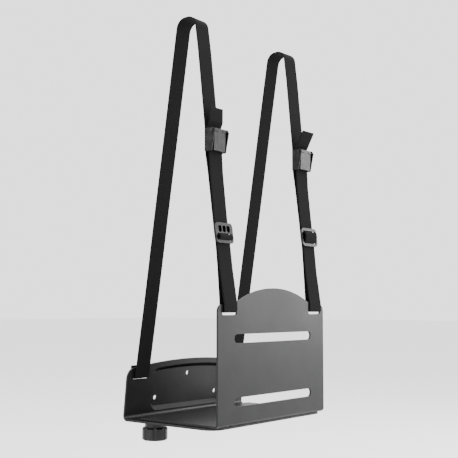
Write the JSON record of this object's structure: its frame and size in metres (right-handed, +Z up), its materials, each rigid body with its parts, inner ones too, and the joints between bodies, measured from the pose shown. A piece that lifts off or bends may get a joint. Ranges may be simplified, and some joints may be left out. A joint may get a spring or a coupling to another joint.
{
  "type": "wall-mounted computer case holder",
  "caption": "Adjustable wall bracket that cradles a desktop computer case in a sliding steel tray, held by webbing straps with cam buckles.",
  "frame": {"origin": "middle of the pressed panel's wall-side face, where the wall plate meets the wall", "axes": "+Z up with the tray level, +X right along the plates seen from the front, +Y from the tray towards the wall; the wall plate leans 6 degrees towards the tray"},
  "size_m": [0.232, 0.1573, 0.5208],
  "materials": {
    "bracket": "satin black powder coat",
    "webbing": "woven black webbing",
    "buckle_metal": "satin grey zinc plate",
    "bright_metal": "satin nickel plate",
    "knob_plastic": "moulded black",
    "insert_brass": "machined"
  },
  "bodies": {
    "wall": {"wall_bracket": "bracket", "left_upper_strap": "webbing", "right_upper_strap": "webbing"},
    "front": {"front_bracket": "bracket", "left_stud": "buckle_metal", "left_washer": "bright_metal", "left_lower_strap": "webbing", "left_buckle_body": "buckle_metal", "left_buckle_pin": "bright_metal", "left_buckle_bar": "buckle_metal", "left_slide": "buckle_metal", "right_stud": "buckle_metal", "right_washer": "bright_metal", "right_lower_strap": "webbing", "right_buckle_body": "buckle_metal", "right_buckle_pin": "bright_metal", "right_buckle_bar": "buckle_metal", "right_slide": "bright_metal"},
    "left_lever": {"left_buckle_lever": "buckle_metal", "left_lever_spring": "bright_metal"},
    "left_clamp_knob": {"left_knob": "knob_plastic", "left_knob_insert": "insert_brass"},
    "right_lever": {"right_buckle_lever": "bright_metal", "right_lever_spring": "bright_metal"},
    "right_clamp_knob": {"right_knob": "knob_plastic", "right_knob_insert": "insert_brass"}
  },
  "joints": [
    {"name": "width_slide", "type": "slide", "parent": "wall", "child": "front", "axis": [0, -1, 0], "range_m": [-0.01, 0.08], "deforming": ["left_upper_strap", "right_upper_strap"]},
    {"name": "left_lever_turn", "type": "hinge", "parent": "front", "child": "left_lever", "pos_m": [-0.09005, -0.13669, 0.31417], "axis": [-0.9994, -0.0349, -0.007], "range_deg": [0, 55], "stiffness_Nm_per_rad": 0.05, "springref_deg": -34.38},
    {"name": "left_knob_turn", "type": "hinge", "parent": "front", "child": "left_clamp_knob", "pos_m": [-0.092, -0.03392, -0.05062], "axis": [0, 0, 1], "continuous": true},
    {"name": "right_lever_turn", "type": "hinge", "parent": "front", "child": "right_lever", "pos_m": [0.09005, -0.13669, 0.31417], "axis": [-0.9994, 0.0349, 0.007], "range_deg": [0, 55], "stiffness_Nm_per_rad": 0.05, "springref_deg": -34.38},
    {"name": "right_knob_turn", "type": "hinge", "parent": "front", "child": "right_clamp_knob", "pos_m": [0.092, -0.03392, -0.05062], "axis": [0, 0, 1], "continuous": true}
  ]
}
